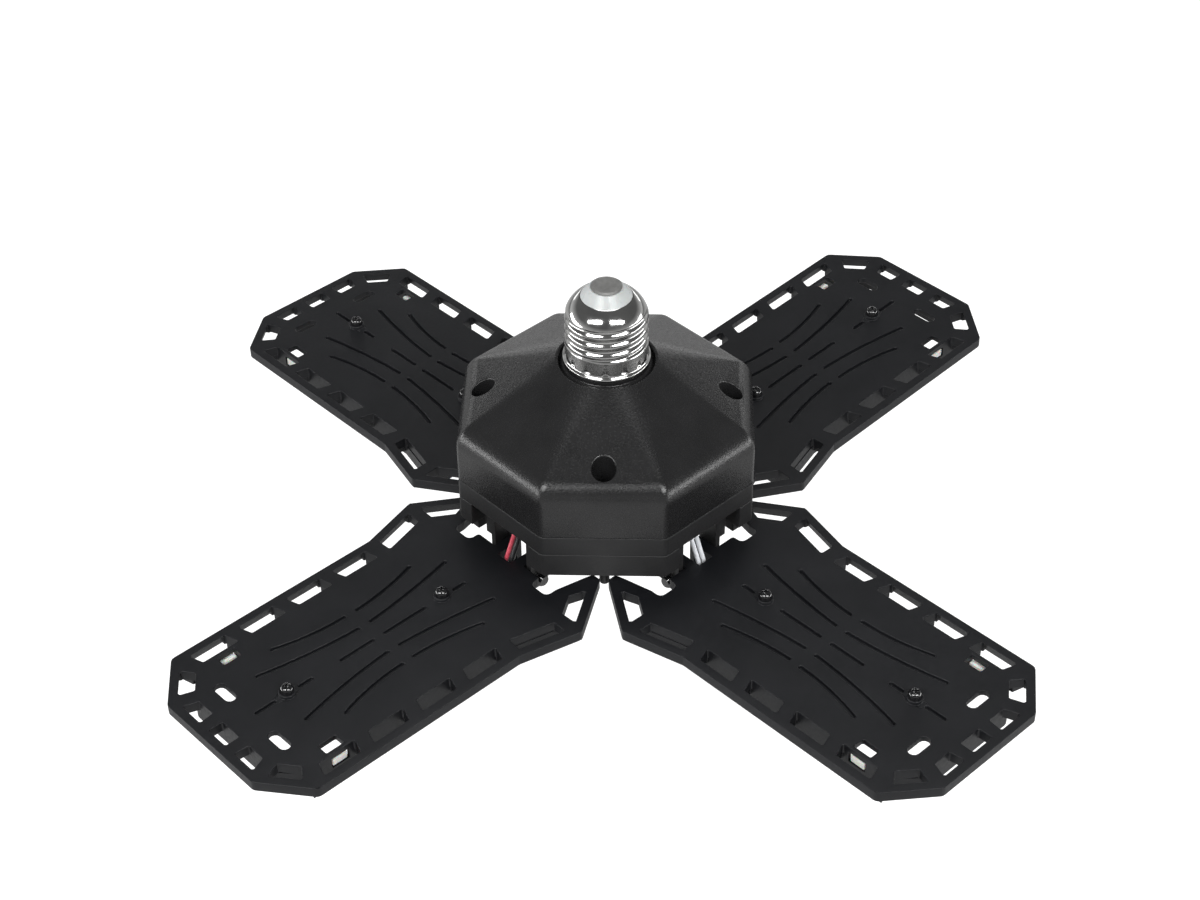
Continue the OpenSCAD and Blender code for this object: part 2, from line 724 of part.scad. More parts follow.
module switch_chip() {
    color([0.15, 0.15, 0.16]) translate([0, 9, board_top]) union() {
        translate([0, 0, 0.3]) cube([4.9, 3.9, 1.6]);
        for (k = [0:3]) for (y = [-0.9, 3.8]) translate([0.4 + 1.2 * k, y, 0]) cube([0.5, 1, 0.9]);
    }
}

module fuse_resistor() {
    r = 1.8;
    color("tan") translate([14, -12.2, board_top + r]) rotate([0, 90, 0]) cylinder(h = 9, r = r);
}

// ---------------------------------------------------------------- wings
// A window in the rim band along the edge from p to q: its outer side runs between the two
// distances in outer, its inner side between those in inner.
module window(p, q, outer, inner) {
    along = unit(q - p);
    inward = turned(along);
    corner = 0.6;
    prism(rounded([
        concat(p + along * outer[0] + inward * rim_w, corner),
        concat(p + along * outer[1] + inward * rim_w, corner),
        concat(p + along * inner[1] + inward * band_w, corner),
        concat(p + along * inner[0] + inward * band_w, corner)
    ], 3), -wall_h - CUT, CUT);
    lean = window_draft / rim_t;
    low = -rim_t - 0.5;
    translate(p) rotate(atan2(along[1], along[0])) translate([outer[0] + corner, 0, 0])
        rotate([90, 0, 90]) linear_extrude(outer[1] - outer[0] - 2 * corner)
            polygon([[-rim_w - 1, low], [-rim_w + FIT - lean * low, low],
                [-rim_w + FIT - lean * CUT, CUT], [-rim_w - 1, CUT]]);
}

module side_window(i) {
    start = window_u - notch_u + i * (window_l + window_bar);
    window(notch_p, corner_p, [start + window_skew, start + window_l + window_skew],
        [start, start + window_l]);
}

module windows() {
    cut_l = norm(tip_p - corner_p);
    flare_l = norm(notch_p - flare_p);
    arm_l = norm(flare_p - arm_p);
    both_sides() {
        window(arm_p, flare_p, [6, arm_l - 3.5], [9.7, arm_l - 6.4]);
        window(flare_p, notch_p, [4.2, flare_l - 1.6], [5.6, flare_l - 0.7]);
        for (i = [0:side_windows - 1]) side_window(i);
        window(corner_p, tip_p, [5.4, cut_l - 3.9], [6.7, cut_l - 5.4]);
        window(tip_p, [tip_u, 0], [3.5, tip_w / 2 - 8.4], [5.3, tip_w / 2 - 9]);
    }
    window(tip_p, [tip_u, 0], [tip_w / 2 - 4.1, tip_w / 2 + 4.1], [tip_w / 2 - 4.1, tip_w / 2 + 4.1]);
}

// The walled tray under the plate is the outline moved inward past the windows.
function tray_edge() = inset(mirrored([
    [tray_u - band_w, flare_p[1] + flare_slope * (flare_u - tray_u + band_w), 1.5],
    [notch_p[0], notch_p[1], 3],
    [corner_p[0], corner_p[1], 3],
    [tip_p[0], tip_p[1], 3]
]), band_w);

// Deep ribs under the bars between the side windows.
module fins() {
    for (i = [0:side_windows]) {
        start = window_u + i * (window_l + window_bar) - window_bar;
        prism([[start + 0.3, tray_side - 0.6], [start + window_bar - 0.3, tray_side - 0.6],
            [start + window_bar + window_skew - 0.3, half_w - rim_w + 0.5],
            [start + window_skew + 0.3, half_w - rim_w + 0.5]], -fin_h, -rim_t + 0.2);
    }
}

module groove(p) {
    prism(stroke(p, groove_w), -groove_h, CUT);
}

// Bowed grooves on both sides of the centre line, and straight ones between the studs.
module grooves() {
    mid = (inner_stud_u + outer_stud_u) / 2 - 5;
    both_sides() {
        groove(arc_through([mid - 36, 11.6], [mid - 19, 8.7], [mid - 2.5, 7]));
        groove(arc_through([mid + 2.5, 7], [mid + 19, 8.6], [mid + 37, 12]));
        groove(arc_through([mid - 26.5, 17.6], [mid - 15, 15], [mid - 2.5, 13.8]));
        groove(arc_through([mid + 2.5, 14], [mid + 14, 14.9], [mid + 27, 18]));
    }
    groove([[mid - 18, 0], [mid - 2.5, 0]]);
    groove([[mid + 2.5, 0], [mid + 14.5, 0]]);
    groove([[inner_stud_u - 9, 0], [inner_stud_u - 5.2, 0]]);
    groove([[outer_stud_u - 9, 0], [outer_stud_u - 4.8, 0]]);
    groove([[outer_stud_u + 4.8, 0], [outer_stud_u + 11.2, 0]]);
}

// A knuckle runs from the plate to the hinge axis.
module knuckles() {
    back = hinge_u - knuckle_r;
    front = hub_edge_u + 3;
    outline = concat(
        [[front, 0], [back, 0]],
        [for (k = [0:11]) [hinge_u - knuckle_r * cos(15 * k), -hinge_drop - knuckle_r * sin(15 * k)]],
        [[front, -rim_t]]
    );
    both_sides() slab(outline, knuckle_in, knuckle_out);
}

module wing_plate() {
    edge = rounded(mirrored([
        [lead_notch_u, knuckle_in + 0.4, 0.5], [hub_edge_u, knuckle_in + 0.4, 0],
        [hub_edge_u, cutout_in, 1], [cutout_u, cutout_in, 1.8], [cutout_u, cutout_out, 1.8],
        [hub_edge_u, cutout_out, 3], [arm_u + 3, arm_v - arm_w - 0.8, 2],
        [arm_u, arm_v - arm_w, 0.8], [arm_p[0], arm_p[1], 0.8], [flare_p[0], flare_p[1], 2],
        [notch_p[0], notch_p[1], 4], [corner_p[0], corner_p[1], 2.5], [tip_p[0], tip_p[1], 2.5]
    ]));
    hook_hole_l = core_l;
    color([0.12, 0.12, 0.13]) difference() {
        union() {
            prism(edge, -rim_t, 0);
            prism(rounded(tray_edge()), -wall_h, -0.5);
            both_sides() fins();
            knuckles();
            for (u = [inner_stud_u, outer_stud_u])
                at(u, 0, -0.5) cylinder(h = 0.5 + stud_top, r = stud_d / 2);
        }
        prism(rounded(inset(tray_edge(), wall_t)), -wall_h - CUT, -plate_t);
        windows();
        grooves();
        both_sides() {
            prism(rounded([[core_u, tray_side - 5.4, 0.5], [core_u + core_l, tray_side - 5.4, 0.5],
                [core_u + core_l, tray_side - 5.4 + core_w, 0.5], [core_u, tray_side - 5.4 + core_w, 0.5]]),
                -wall_h, CUT);
            prism(stroke([[slot_u, slot_v - 2.5], [slot_u, slot_v + 2.5]], 3.6), -wall_h, CUT);
            translate([core_u - 0.6, tray_side - 2 * wall_t, -5.6]) cube([hook_hole_l, 3 * wall_t, 3.6]);
        }
        for (u = [inner_stud_u, outer_stud_u])
            at(u, 0, -wall_h) cylinder(h = 2 * wall_h, r = hinge_d / 2 + 0.1);
        translate([hinge_u, 0, -hinge_drop]) rotate([90, 0, 0])
            cylinder(h = 4 * knuckle_out, r = hinge_bore_r, center = true);
        translate([tray_u - CUT, -2.3, -6.5]) cube([wall_t + 2 * CUT, 4.6, 2.4]);
    }
}

function light_edge(d) = inset(mirrored([
    [lens_u, lens_v, 1.5], [lens_end_u - lens_cut, lens_v, 4], [lens_end_u, lens_v - lens_cut, 4]
]), d);

module led_board() {
    color("white") difference() {
        prism(rounded(light_edge(0.3)), board_under, -plate_t);
        for (u = [inner_stud_u, outer_stud_u])
            at(u, 0, board_under - CUT) cylinder(h = led_board_t + 2 * CUT, r = hinge_d / 2 + 0.3);
    }
}

// Rows of LEDs, set out from the middle of the board; the last ones of the outer rows are
// left out where the board narrows.
module leds() {
    columns = 9;
    first = (lens_u + lens_end_u) / 2 - led_pitch * (columns - 1) / 2;
    color("khaki") both_sides()
        for (i = [0:columns - 1]) for (row = [0:1])
            if (row == 0 || i < columns - 2)
                translate([first + led_pitch * i - 1.75, 5.5 + 12 * row, board_under - 0.8])
                    cube([3.5, 2.8, 0.8]);
}

// A hook of the lens reaches along the tray's wall to the hole in it.
module lens_hooks() {
    arm_top = -7;
    hook_l = core_l - 1;
    both_sides() {
        translate([lens_end_u - lens_cut - 2, lens_v - 1.2, lens_bottom])
            cube([core_u + hook_l - lens_end_u + lens_cut + 2, 1.2, arm_top - lens_bottom]);
        translate([core_u, lens_v - 1.2, arm_top - 0.5]) cube([hook_l, 1.2, 2.4 - SEAT + 3]);
        translate([core_u, lens_v - 0.2, -5.2]) cube([hook_l, wall_t + SEAT, 2.6]);
    }
}

module lens() {
    color([0.96, 0.95, 0.9]) difference() {
        union() {
            difference() {
                prism(rounded(light_edge(0)), lens_bottom, board_under);
                prism(rounded(light_edge(lens_t)), lens_bottom + lens_t, board_under + CUT);
            }
            for (u = [inner_stud_u, outer_stud_u])
                at(u, 0, lens_bottom + 0.5) cylinder(h = lens_h - 0.5, r = 2.8);
            lens_hooks();
        }
        for (u = [inner_stud_u, outer_stud_u])
            at(u, 0, lens_bottom + lens_t) cylinder(h = lens_h, r = hinge_d / 2 + FIT);
        translate([lens_u - CUT, -2.3, board_under - 3]) cube([lens_t + 2 * CUT, 4.6, 3 + CUT]);
    }
}

// Domed cross-head screws, from the plate's top into the lens.
module lens_screws() {
    head_r = 2.15;
    head_h = 2.6;
    reach = lens_h - lens_t + led_board_t + plate_t + stud_top - 0.6;
    color("gray") for (u = [inner_stud_u, outer_stud_u]) at(u, 0, stud_top) difference() {
        rotate_extrude() polygon([[0, -reach], [hinge_d / 2, -reach], [hinge_d / 2, 0], [head_r, 0],
            [head_r, 1], [head_r * 0.9, 1.7], [head_r * 0.62, 2.3], [head_r * 0.3, head_h], [0, head_h]]);
        for (a = [45, 135]) rotate(a) translate([-1.1, -0.25, head_h - 0.9]) cube([2.2, 0.5, 2]);
    }
}

module hinge_screws() {
    head_face = head_seat + washer_t + FIT;
    color("silver") both_sides()
        translate([hinge_u, head_face, -hinge_drop]) rotate([-90, 0, 0])
            screw(hinge_head_r, hinge_head_h, hinge_d / 2, head_face - knuckle_in - 0.4);
}

// The white pair and the red and black pair are on alternate wings.
module wing_leads(i) {
    for (side = [-1, 1])
        color(lead_colour(i, side))
            tube([for (q = WING_ROUTE) [q[0], side * lead_v, q[1]]], lead_d);
}

module hub_leads(i) {
    for (side = [-1, 1])
        color(lead_colour(i, side))
            tube([for (q = HUB_ROUTE) [q[0], side * lead_v, band_bottom + q[1]]], lead_d);
}

function lead_colour(i, side) = i % 2 == 1 ? "whitesmoke" : side < 0 ? "indianred" : "dimgray";

// ---------------------------------------------------------------- assembly
cap_shell();
cap_insulator();
cap_contact();
cap_live_lead();
cap_neutral_lead();
top_cover();
cover_screws();
base_housing();
hinge_frame();
frame_screws();
hinge_washers();
driver_board();
board_screws();
bulk_capacitor();
film_capacitor();
choke();
rectifier();
switch_chip();
fuse_resistor();
for (i = [0:3]) {
    at_wing(i) wing_plate();
    at_wing(i) led_board();
    at_wing(i) leds();
    at_wing(i) lens();
    at_wing(i) lens_screws();
    at_wing(i) hinge_screws();
    at_wing(i) wing_leads(i);
    rotate(WING_ANGLES[i]) hub_leads(i);
}
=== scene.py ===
"""A garage light with four folding wings, dressed for the photograph's view."""

import json
import math

import bpy
from mathutils import Matrix, Quaternion, Vector


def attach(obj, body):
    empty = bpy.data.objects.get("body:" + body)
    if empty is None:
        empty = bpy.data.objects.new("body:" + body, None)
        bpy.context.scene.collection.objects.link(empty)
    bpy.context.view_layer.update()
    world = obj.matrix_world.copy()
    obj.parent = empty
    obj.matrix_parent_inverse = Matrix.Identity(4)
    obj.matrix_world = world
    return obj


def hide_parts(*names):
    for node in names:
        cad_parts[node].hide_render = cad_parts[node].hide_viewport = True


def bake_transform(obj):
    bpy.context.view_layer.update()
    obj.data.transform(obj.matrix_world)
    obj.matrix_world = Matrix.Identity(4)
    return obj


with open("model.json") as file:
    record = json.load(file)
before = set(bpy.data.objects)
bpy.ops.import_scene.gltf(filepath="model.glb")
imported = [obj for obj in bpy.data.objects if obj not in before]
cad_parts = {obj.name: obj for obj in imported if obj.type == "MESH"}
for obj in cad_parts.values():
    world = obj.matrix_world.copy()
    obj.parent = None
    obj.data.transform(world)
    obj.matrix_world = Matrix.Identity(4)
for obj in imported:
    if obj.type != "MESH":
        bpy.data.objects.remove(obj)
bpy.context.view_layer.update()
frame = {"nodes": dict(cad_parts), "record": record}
MM = 0.001
WINGS = {"front_left": 225, "front_right": 315, "back_right": 45, "back_left": 135}


# ---------------------------------------------------------------- camera
CAMERA_PLACE = Vector((0.0149, -0.5479, 0.4123))
CAMERA_AIM = Vector((-0.0023, 0, -0.0424))
CAMERA_ROLL = -0.44
CAMERA_LENS = 66.3


def add_camera():
    data = bpy.data.cameras.new("camera")
    data.lens = CAMERA_LENS
    data.sensor_width = 36
    data.clip_start = 0.05
    camera = bpy.data.objects.new("camera", data)
    camera.location = CAMERA_PLACE
    aim = (CAMERA_AIM - CAMERA_PLACE).to_track_quat("-Z", "Y")
    camera.rotation_mode = "QUATERNION"
    camera.rotation_quaternion = aim @ Quaternion((0, 0, 1), math.radians(CAMERA_ROLL))
    bpy.context.scene.collection.objects.link(camera)
    bpy.context.scene.camera = camera


# ---------------------------------------------------------------- materials
class Surface:
    """A material of one Principled shader, fed by textures in the object's own space."""

    def __init__(self, name, **constants):
        self.material = bpy.data.materials.new(name)
        self.material.use_nodes = True
        self.tree = self.material.node_tree
        self.shader = self.tree.nodes["Principled BSDF"]
        for socket, value in constants.items():
            self.shader.inputs[socket.replace("_", " ")].default_value = value
        self.place = self.node("ShaderNodeTexCoord").outputs["Object"]
        self.normal = None

    def node(self, kind, **settings):
        made = self.tree.nodes.new(kind)
        for key, value in settings.items():
            setattr(made, key, value)
        return made

    def join(self, source, target):
        self.tree.links.new(source, target)

    def stretched(self, scale):
        mapping = self.node("ShaderNodeMapping")
        mapping.inputs["Scale"].default_value = scale
        self.join(self.place, mapping.inputs["Vector"])
        return mapping.outputs["Vector"]

    def noise(self, per_metre, detail=2.0, rough=0.5, stretch=None):
        made = self.node("ShaderNodeTexNoise")
        made.inputs["Scale"].default_value = per_metre
        made.inputs["Detail"].default_value = detail
        made.inputs["Roughness"].default_value = rough
        self.join(self.stretched(stretch) if stretch else self.place, made.inputs["Vector"])
        return made.outputs["Fac"]

    def span(self, value, low, high, start=0.3, end=0.7):
        """Maps a texture's value between start and end to low and high."""
        made = self.node("ShaderNodeMapRange")
        for socket, number in zip(
            ("From Min", "From Max", "To Min", "To Max"), (start, end, low, high)
        ):
            made.inputs[socket].default_value = number
        self.join(value, made.inputs["Value"])
        return made.outputs["Result"]

    def tones(self, value, dark, light, start=0.3, end=0.7):
        ramp = self.node("ShaderNodeValToRGB")
        ramp.color_ramp.elements[0].position = start
        ramp.color_ramp.elements[1].position = end
        ramp.color_ramp.elements[0].color = (*dark, 1)
        ramp.color_ramp.elements[1].color = (*light, 1)
        self.join(value, ramp.inputs["Fac"])
        self.join(ramp.outputs["Color"], self.shader.inputs["Base Color"])

    def roughness(self, value, low, high):
        self.join(self.span(value, low, high), self.shader.inputs["Roughness"])

    def bump(self, value, height_mm, strength=1.0):
        made = self.node("ShaderNodeBump")
        made.inputs["Strength"].default_value = strength
        made.inputs["Distance"].default_value = height_mm * MM
        self.join(value, made.inputs["Height"])
        if self.normal:
            self.join(self.normal, made.inputs["Normal"])
        self.normal = made.outputs["Normal"]
        self.join(self.normal, self.shader.inputs["Normal"])


def moulded_black():
    """Moulded plastic with a fine spark-eroded grain that sparkles where light grazes it."""
    s = Surface("cover_black", Specular_IOR_Level=0.42)
    s.tones(s.noise(90, 4), (0.010, 0.010, 0.0103), (0.014, 0.014, 0.0144))
    s.roughness(s.noise(1400, 3), 0.2, 0.3)
    s.bump(s.noise(1700, 3, 0.6), 0.065, 1.0)
    return s.material


def base_black():
    """The base's plastic: a plainer, duller grain than the cover's."""
    s = Surface("base_black", Specular_IOR_Level=0.4)
    s.tones(s.noise(70, 4), (0.010, 0.010, 0.0105), (0.015, 0.015, 0.0155))
    s.roughness(s.noise(1400, 3), 0.4, 0.55)
    s.bump(s.noise(2600, 2, 0.6), 0.035, 0.7)
    return s.material


def powder_black():
    """Powder coat on a die casting: a faint orange peel and a cool tint."""
    s = Surface("plate_black", Specular_IOR_Level=0.3)
    s.tones(s.noise(60, 5), (0.0052, 0.0056, 0.0068), (0.0085, 0.0089, 0.0104))
    s.roughness(s.noise(900, 3), 0.34, 0.46)
    s.bump(s.noise(700, 3, 0.5), 0.02, 0.5)
    s.bump(s.noise(3000, 2, 0.5), 0.012, 0.5)
    return s.material


def nickel():
    """Bright nickel plate, rolled: fine rings round the axis and soft smudges."""
    s = Surface("cap_metal", Metallic=1.0)
    s.tones(s.noise(160, 4), (0.42, 0.42, 0.415), (0.53, 0.53, 0.52))
    s.roughness(s.noise(400, 4), 0.06, 0.14)
    s.bump(s.noise(300, 2, 0.5, stretch=(0.15, 0.15, 12)), 0.006, 0.5)
    return s.material


def contact_metal():
    """Dull solder over brass, slightly pitted."""
    s = Surface("contact_metal", Metallic=0.6)
    s.tones(s.noise(500, 5), (0.19, 0.19, 0.186), (0.26, 0.26, 0.252))
    s.roughness(s.noise(900, 3), 0.4, 0.55)
    s.bump(s.noise(1500, 3), 0.02, 0.6)
    return s.material


def glazed_white():
    """The cap's pale glass, smooth and a little cloudy."""
    s = Surface("cap_insulator", Subsurface_Weight=0.05)
    s.tones(s.noise(200, 4), (0.41, 0.425, 0.42), (0.47, 0.48, 0.475))
    s.roughness(s.noise(500, 3), 0.25, 0.38)
    s.bump(s.noise(900, 2), 0.01, 0.4)
    return s.material


def zinc():
    """Zinc-plated steel with fine scuffs."""
    s = Surface("steel_screws", Metallic=1.0)
    s.tones(s.noise(600, 4), (0.34, 0.34, 0.35), (0.5, 0.5, 0.51))
    s.roughness(s.noise(1200, 3), 0.25, 0.42)
    s.bump(s.noise(2500, 2), 0.01, 0.6)
    return s.material


def black_oxide():
    """Glossy blackened screws."""
    s = Surface("black_screws", Specular_IOR_Level=0.8)
    s.tones(s.noise(400, 3), (0.004, 0.004, 0.0045), (0.008, 0.008, 0.009))
    s.roughness(s.noise(1500, 3), 0.08, 0.16)
    s.bump(s.noise(2500, 2), 0.006, 0.5)
    return s.material


def solder_mask(name, dark, light):
    """A board's lacquer, slightly uneven over the copper."""
    s = Surface(name, Specular_IOR_Level=0.5)
    s.tones(s.noise(300, 4), dark, light)
    s.roughness(s.noise(900, 3), 0.22, 0.36)
    s.bump(s.noise(1300, 3), 0.012, 0.5)
    return s.material


def phosphor():
    """The LEDs' yellow gel."""
    s = Surface("led_yellow", Specular_IOR_Level=0.5)
    s.tones(s.noise(1500, 4), (0.70, 0.55, 0.16), (0.84, 0.70, 0.26))
    s.roughness(s.noise(2000, 3), 0.2, 0.35)
    s.bump(s.noise(3000, 2), 0.015, 0.5)
    return s.material


def milky():
    """The diffuser: milky plastic with a faint frosting."""
    s = Surface("lens_white", Subsurface_Weight=0.25, Subsurface_Scale=0.004)
    s.tones(s.noise(50, 4), (0.76, 0.75, 0.70), (0.82, 0.81, 0.77))
    s.roughness(s.noise(1200, 3), 0.35, 0.5)
    s.bump(s.noise(2200, 2), 0.02, 0.6)
    return s.material


def insulation(name, dark, light):
    """Soft PVC: slightly waxy, with fine draw marks."""
    s = Surface(name, Specular_IOR_Level=0.5)
    s.tones(s.noise(900, 4), dark, light)
    s.roughness(s.noise(1600, 3), 0.3, 0.45)
    s.bump(s.noise(2400, 2), 0.012, 0.6)
    return s.material


MATERIALS = {
    "cap_metal": nickel(),
    "contact_metal": contact_metal(),
    "cap_insulator": glazed_white(),
    "cover_black": moulded_black(),
    "base_black": base_black(),
    "plate_black": powder_black(),
    "steel_screws": zinc(),
    "black_screws": black_oxide(),
    "led_board_white": solder_mask("led_board_white", (0.7, 0.7, 0.69), (0.8, 0.8, 0.79)),
    "led_yellow": phosphor(),
    "lens_white": milky(),
    "lead_red": insulation("lead_red", (0.55, 0.06, 0.09), (0.68, 0.1, 0.14)),
    "lead_white": insulation("lead_white", (0.72, 0.74, 0.77), (0.82, 0.84, 0.87)),
    "lead_black": insulation("lead_black", (0.012, 0.012, 0.013), (0.022, 0.022, 0.024)),
    "board_green": solder_mask("board_green", (0.02, 0.09, 0.035), (0.035, 0.14, 0.05)),
    "capacitor_blue": insulation("capacitor_blue", (0.02, 0.03, 0.1), (0.04, 0.05, 0.16)),
    "capacitor_yellow": insulation("capacitor_yellow", (0.55, 0.36, 0.06), (0.66, 0.46, 0.1)),
    "choke_winding": insulation("choke_winding", (0.25, 0.08, 0.03), (0.4, 0.16, 0.06)),
    "chip_black": insulation("chip_black", (0.015, 0.015, 0.016), (0.03, 0.03, 0.032)),
    "resistor_body": insulation("resistor_body", (0.35, 0.4, 0.35), (0.45, 0.5, 0.45)),
}


EDGE_SEGMENTS = 2
SHARP_ANGLE = 32
WELD_MM = 0.005
EDGE_RADII_MM = {
    "top_cover": 0.45,
    "base_housing": 0.28,
    "hinge_frame": 0.28,
    "wing_plate": 0.22,
    "lens": 0.3,
    "lens_screws": 0.12,
    "cover_screws": 0.15,
}


def soften(piece, radius_mm):
    """Small radii on a CAD node's sharp edges, so that they catch the light."""
    piece.data.shade_smooth()
    weld = piece.modifiers.new("weld", "WELD")
    weld.merge_threshold = WELD_MM * MM
    edges = piece.modifiers.new("edges", "BEVEL")
    edges.width = radius_mm * MM
    edges.segments = EDGE_SEGMENTS
    edges.limit_method = "ANGLE"
    edges.angle_limit = math.radians(SHARP_ANGLE)
    edges.use_clamp_overlap = False
    edges.harden_normals = True
    piece.modifiers.new("normals", "WEIGHTED_NORMAL").keep_sharp = True


def dress_frame():
    """Gives every CAD node its slot's material, and a small edge radius."""
    slots = {s["node"]: s["material_slot"] for s in frame["record"]["subparts"]}
    for name, piece in frame["nodes"].items():
        piece.data.materials.clear()
        piece.data.materials.append(MATERIALS[slots[name]])
        kind = name
        for wing in WINGS:
            kind = kind.replace("_" + wing, "")
        if kind in EDGE_RADII_MM:
            soften(piece, EDGE_RADII_MM[kind])


# ---------------------------------------------------------------- pieces
def add_mesh(name, points, faces, materials, slots=None):
    """A smooth mesh piece; slots gives each face its material's number."""
    mesh = bpy.data.meshes.new(name)
    mesh.from_pydata(points, [], faces)
    for material in materials:
        mesh.materials.append(material)
    if slots:
        mesh.polygons.foreach_set("material_index", slots)
    mesh.shade_smooth()
    mesh.update()
    made = bpy.data.objects.new(name, mesh)
    bpy.context.scene.collection.objects.link(made)
    return made


def ring_faces(rings, around, first=0, closed=False):
    """Quads between rings of points; a closed set joins its last ring to its first."""
    faces = []
    for i in range(rings if closed else rings - 1):
        low, high = first + i * around, first + (i + 1) % rings * around
        for k in range(around):
            after = (k + 1) % around
            faces.append((low + k, low + after, high + after, high + k))
    return faces


# The cap's sizes in millimetres. Its origin is the middle of the skirt.
SKIRT_R, SKIRT_H = 13.1, 5.0
BEAD_R, BEAD_H = 13.8, 1.9
CREST_R, THREAD_DEPTH, THREAD_PITCH, THREAD_H = 13.05, 0.9, 3.629, 9.7
DOME_H, DOME_SIDE_R = 6.8, 10.8
INSULATOR_R, SHELL_T = 8.1, 0.5
SKIRT_TOP = SKIRT_H / 2
BEAD_TOP = -SKIRT_H / 2
BEAD_BOTTOM = BEAD_TOP - BEAD_H
DOME_FOOT = SKIRT_TOP + THREAD_H
DOME_TOP = DOME_FOOT + DOME_H
LIP_R = INSULATOR_R - SHELL_T
LIP_H = 1
LIP_BREAK = 0.1
BORE_R = CREST_R - 1.5

# The bead's outline: radius, and height above its bottom.
BEAD_OUTLINE = [
    (BEAD_R - 0.5, 0), (BEAD_R - 0.12, 0.12), (BEAD_R, 0.4), (BEAD_R, 0.95),
    (BEAD_R - 0.12, 1.15), (BEAD_R - 0.45, 1.4), (SKIRT_R + 0.06, 1.7), (SKIRT_R, BEAD_H),
]

# The thread comes up over THREAD_START above the skirt and is gone THREAD_RUNOUT above the
# dome's foot, where it fades over THREAD_END.
THREAD_START, THREAD_RUNOUT, THREAD_END = 1.2, 3, 1.5

# Punch marks: their number and sizes, and how steeply their sides and feet sink in.
PUNCH_MARKS, MARK_W, MARK_H, MARK_DEPTH = 14, 2.4, 2.9, 0.4
MARK_SIDE, MARK_FOOT = 3, 6

# How finely the shell is meshed, round the axis and along it.
CAP_AROUND = 240
SKIRT_STEP, SKIRT_STEPS = 0.15, 33
THREAD_STEPS, DOME_STEPS = 90, 16
THREAD_OVERLAP = 2
DOME_SHORT = 0.2


def dome_radius(z):
    """The dome's radius at a height: an arc from the thread's crest to the insulator."""
    foot, top = Vector((CREST_R, DOME_FOOT)), Vector((INSULATOR_R, DOME_TOP))
    chord = top - foot
    across = Vector((chord.y, -chord.x)).normalized()
    centre = (foot + top) / 2 - across * math.sqrt(DOME_SIDE_R**2 - chord.length_squared / 4)
    return centre.x + math.sqrt(DOME_SIDE_R**2 - (z - centre.y) ** 2)


def shell_radius(z, angle):
    """The rolled shell: a thread that fades out at the skirt and into the dome."""
    rise = (z - SKIRT_TOP) / THREAD_START
    fall = (DOME_FOOT + THREAD_RUNOUT - z) / THREAD_END
    fade = max(0, min(1, rise, fall))
    fade = fade * fade * (3 - 2 * fade)
    turn = math.tau * (z - SKIRT_TOP) / THREAD_PITCH - angle + math.pi / 2
    wave = 0.5 - 0.5 * math.cos(turn)
    thread = CREST_R - THREAD_DEPTH * wave * fade
    return thread if z <= DOME_FOOT else min(dome_radius(z), thread)


def mark_depth(z, angle):
    """A row of tent-shaped punch marks just above the bead."""
    step = math.tau / PUNCH_MARKS
    off = (angle + math.pi / 2 + step / 2) % step - step / 2
    up = (z - BEAD_TOP) / MARK_H
    half_width = MARK_W / 2 * (1 - up)
    if not 0 < up < 1:
        return 0
    inside = 1 - abs(off) * SKIRT_R / half_width
    return MARK_DEPTH * max(0, min(1, MARK_SIDE * inside)) * min(1, MARK_FOOT * up)


def cap_rings():
    """The shell's outline at each angle, from the bead up over the dome and down inside."""
    angles = [math.tau * k / CAP_AROUND for k in range(CAP_AROUND)]
    overlap_top = DOME_FOOT + THREAD_OVERLAP
    skirt = [BEAD_TOP + SKIRT_STEP * k for k in range(1, SKIRT_STEPS + 1)]
    thread = [
        SKIRT_TOP + (overlap_top - SKIRT_TOP) * k / THREAD_STEPS for k in range(THREAD_STEPS + 1)
    ]
    dome_h = DOME_H - THREAD_OVERLAP - DOME_SHORT
    dome = [overlap_top + dome_h * k / DOME_STEPS for k in range(1, DOME_STEPS + 1)]
    rim_and_inside = [
        (INSULATOR_R - LIP_BREAK / 2, DOME_TOP),
        (LIP_R + LIP_BREAK, DOME_TOP),
        (LIP_R, DOME_TOP - LIP_BREAK),
        (LIP_R, DOME_TOP - LIP_H),
        (BORE_R, DOME_FOOT),
        (BORE_R, BEAD_BOTTOM),
    ]
    rings = [[(r, BEAD_BOTTOM + up)] * CAP_AROUND for r, up in BEAD_OUTLINE]
    rings += [[(SKIRT_R - mark_depth(z, a), z) for a in angles] for z in skirt]
    rings += [[(shell_radius(z, a), z) for a in angles] for z in thread + dome]
    rings += [[point] * CAP_AROUND for point in rim_and_inside]
    return angles, rings


def add_cap():
    """The rolled screw shell, with its thread and punch marks."""
    angles, rings = cap_rings()
    points = [
        (r * math.cos(a) * MM, r * math.sin(a) * MM, z * MM)
        for ring in rings for a, (r, z) in zip(angles, ring)
    ]
    faces = ring_faces(len(rings), CAP_AROUND, closed=True)
    cap = add_mesh("cap_rolled", points, faces, [MATERIALS["cap_metal"]])
    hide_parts("cap_shell")
    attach(cap, "hub")


# The leads' routes in a wing's own plane: distance from the hub's axis and height, in
# millimetres. The first list stays with the hub, and the second turns with the wing.
HUB_ROUTE = [
    (28, -39.95), (28, -41.1), (30, -42.1), (34, -42.4), (36.4, -43.7),
    (37.3, -46.6), (38.1, -50.6), (39.9, -55.4), (41.4, -58.7), (42.7, -61.5),
]
WING_ROUTE = [
    (43.3, -62.8), (43.7, -64.3), (44.6, -65.5), (46.6, -66.1), (49.5, -66.2),
    (52, -66.2), (53.8, -65.8), (54.4, -65.1), (54.4, -64.4),
]
HINGE = Vector((38.6, -67.4))
